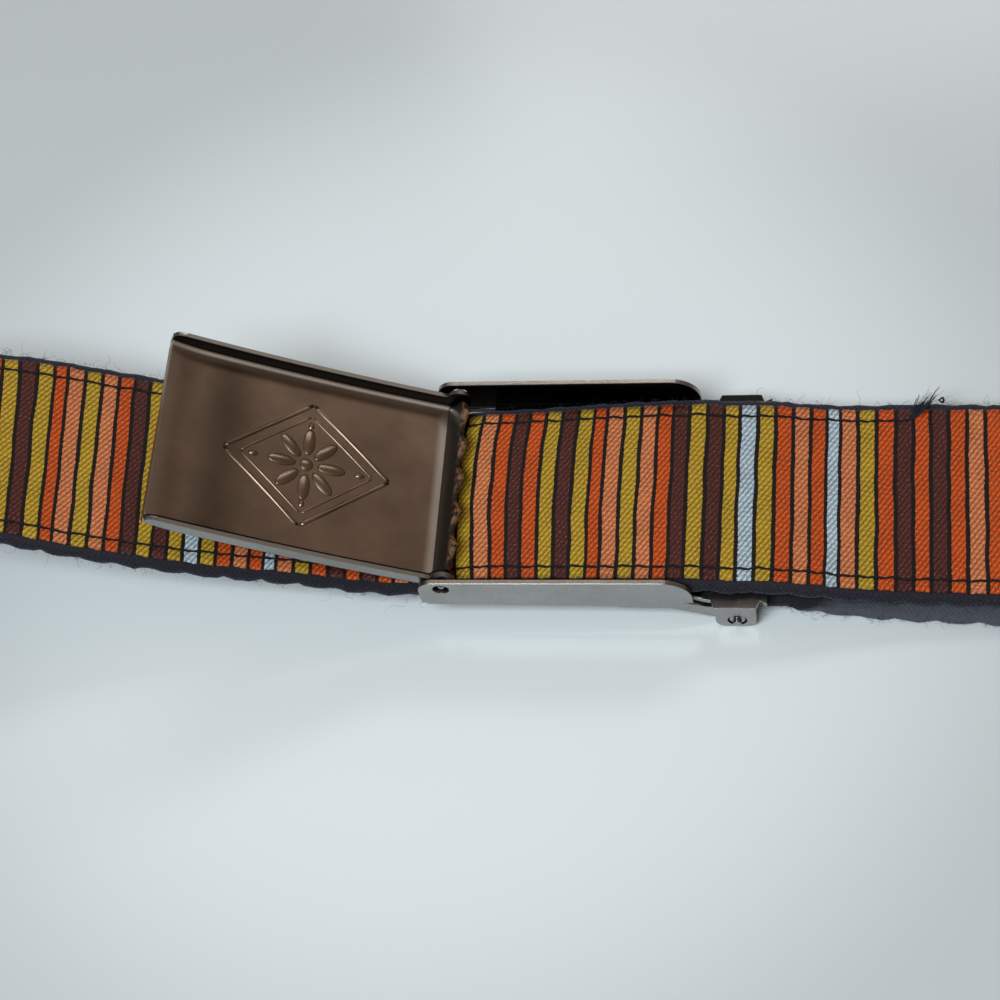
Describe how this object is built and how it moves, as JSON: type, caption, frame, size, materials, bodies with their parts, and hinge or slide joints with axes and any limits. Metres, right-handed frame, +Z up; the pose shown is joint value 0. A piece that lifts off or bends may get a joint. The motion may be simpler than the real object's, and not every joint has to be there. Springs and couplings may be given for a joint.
{
  "type": "ribbon belt",
  "caption": "Cotton web belt with a striped ribbon on its face, threaded through a metal clamp buckle whose toothed cover stands open, lying in a closed loop.",
  "frame": {"origin": "middle of the belt's box, on the surface that it lies on", "axes": "+X along the front of the belt towards its free end, +Y across the front, away from the loop, +Z up"},
  "size_m": [0.3544, 0.1622, 0.0415],
  "materials": {
    "webbing": "matt napped cotton webbing, navy black",
    "ribbon": "striped twill ribbon with a low sheen",
    "frame_steel": "satin dark nickel",
    "cover_metal": "satin antique gunmetal with fine grain"
  },
  "bodies": {
    "root": {"webbing": "webbing", "ribbon": "ribbon", "buckle_frame": "frame_steel", "tail_clamp": "frame_steel", "tail_pin": "frame_steel"},
    "cover": {"buckle_cover": "cover_metal"}
  },
  "joints": [
    {"name": "cover_hinge", "type": "hinge", "parent": "root", "child": "cover", "pos_m": [-0.00698, 0.0586, 0.01253], "axis": [0, 1, 0], "range_deg": [0, 153]}
  ]
}
